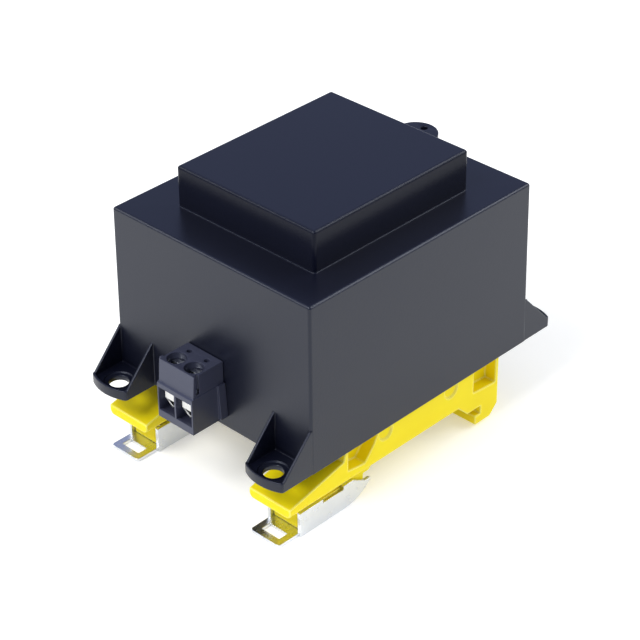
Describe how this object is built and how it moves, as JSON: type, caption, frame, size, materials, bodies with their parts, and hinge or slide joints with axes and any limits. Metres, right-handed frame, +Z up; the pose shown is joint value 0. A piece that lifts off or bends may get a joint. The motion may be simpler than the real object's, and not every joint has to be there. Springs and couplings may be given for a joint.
{
  "type": "encapsulated transformer",
  "caption": "Resin-filled mains transformer with screw terminals, fixing lugs and sprung feet for a mounting rail.",
  "frame": {"origin": "centre of the four lug holes, in the plane of the case's bottom", "axes": "+Z up, +Y from the front terminal to the rear terminal, +X to the right seen from the front"},
  "size_m": [0.057, 0.0854, 0.0653],
  "materials": {
    "housing_plastic": "moulded with a fine texture on the sides",
    "terminal_plastic": "moulded",
    "foot_plastic": "moulded, low gloss",
    "latch_steel": "bright zinc plate",
    "spring_steel": "drawn wire",
    "screw_steel": "bright zinc plate",
    "cage_steel": "zinc plate",
    "bar_brass": "tinned",
    "insert_brass": "turned",
    "resin": "cast",
    "core_steel": "laminated sheet",
    "former_plastic": "moulded",
    "copper_winding": "enamelled copper",
    "lead_insulation": "sleeving"
  },
  "bodies": {
    "case": {"housing": "housing_plastic", "potting_resin": "resin", "core_e_stack": "core_steel", "core_i_stack": "core_steel", "coil_former": "former_plastic", "primary_winding": "copper_winding", "secondary_winding": "copper_winding", "front_terminal_body": "terminal_plastic", "front_left_contact_bar": "bar_brass", "front_left_lead": "lead_insulation", "front_right_contact_bar": "bar_brass", "front_right_lead": "lead_insulation", "rear_terminal_body": "terminal_plastic", "rear_left_contact_bar": "bar_brass", "rear_left_lead": "lead_insulation", "rear_right_contact_bar": "bar_brass", "rear_right_lead": "lead_insulation", "left_foot": "foot_plastic", "left_latch_spring": "spring_steel", "left_foot_front_screw": "screw_steel", "left_foot_front_insert": "insert_brass", "left_foot_rear_screw": "screw_steel", "left_foot_rear_insert": "insert_brass", "right_foot": "foot_plastic", "right_latch_spring": "spring_steel", "right_foot_front_screw": "screw_steel", "right_foot_front_insert": "insert_brass", "right_foot_rear_screw": "screw_steel", "right_foot_rear_insert": "insert_brass"},
    "front_left_screw": {"front_left_screw": "screw_steel"},
    "front_left_cage": {"front_left_cage": "cage_steel"},
    "front_right_screw": {"front_right_screw": "screw_steel"},
    "front_right_cage": {"front_right_cage": "cage_steel"},
    "rear_left_screw": {"rear_left_screw": "screw_steel"},
    "rear_left_cage": {"rear_left_cage": "cage_steel"},
    "rear_right_screw": {"rear_right_screw": "screw_steel"},
    "rear_right_cage": {"rear_right_cage": "cage_steel"},
    "left_latch": {"left_latch": "latch_steel"},
    "right_latch": {"right_latch": "latch_steel"}
  },
  "joints": [
    {"name": "front_left_screw_turn", "type": "hinge", "parent": "case", "child": "front_left_screw", "pos_m": [-0.00394, -0.03882, 0.0105], "axis": [0, 0, -1], "range_deg": [-684, 720]},
    {"name": "front_left_cage_rise", "type": "slide", "parent": "case", "child": "front_left_cage", "axis": [0, 0, 1], "range_m": [-0.00095, 0.001]},
    {"name": "front_right_screw_turn", "type": "hinge", "parent": "case", "child": "front_right_screw", "pos_m": [0.00114, -0.03882, 0.0105], "axis": [0, 0, -1], "range_deg": [-684, 720]},
    {"name": "front_right_cage_rise", "type": "slide", "parent": "case", "child": "front_right_cage", "axis": [0, 0, 1], "range_m": [-0.00095, 0.001]},
    {"name": "rear_left_screw_turn", "type": "hinge", "parent": "case", "child": "rear_left_screw", "pos_m": [0.00894, 0.03882, 0.0105], "axis": [0, 0, -1], "range_deg": [-684, 720]},
    {"name": "rear_left_cage_rise", "type": "slide", "parent": "case", "child": "rear_left_cage", "axis": [0, 0, 1], "range_m": [-0.00095, 0.001]},
    {"name": "rear_right_screw_turn", "type": "hinge", "parent": "case", "child": "rear_right_screw", "pos_m": [0.00386, 0.03882, 0.0105], "axis": [0, 0, -1], "range_deg": [-684, 720]},
    {"name": "rear_right_cage_rise", "type": "slide", "parent": "case", "child": "rear_right_cage", "axis": [0, 0, 1], "range_m": [-0.00095, 0.001]},
    {"name": "left_latch_slide", "type": "slide", "parent": "case", "child": "left_latch", "axis": [0, -1, 0], "range_m": [0, 0.003], "stiffness_N_per_m": 1500, "springref_m": -0.002, "deforming": ["left_latch_spring"]},
    {"name": "right_latch_slide", "type": "slide", "parent": "case", "child": "right_latch", "axis": [0, -1, 0], "range_m": [0, 0.003], "stiffness_N_per_m": 1500, "springref_m": -0.002, "deforming": ["right_latch_spring"]}
  ],
  "couplings": [
    {"joint": "front_left_screw_turn", "follows": "front_left_cage_rise", "rad_per_m": 12566},
    {"joint": "front_right_screw_turn", "follows": "front_right_cage_rise", "rad_per_m": 12566},
    {"joint": "rear_left_screw_turn", "follows": "rear_left_cage_rise", "rad_per_m": 12566},
    {"joint": "rear_right_screw_turn", "follows": "rear_right_cage_rise", "rad_per_m": 12566}
  ]
}
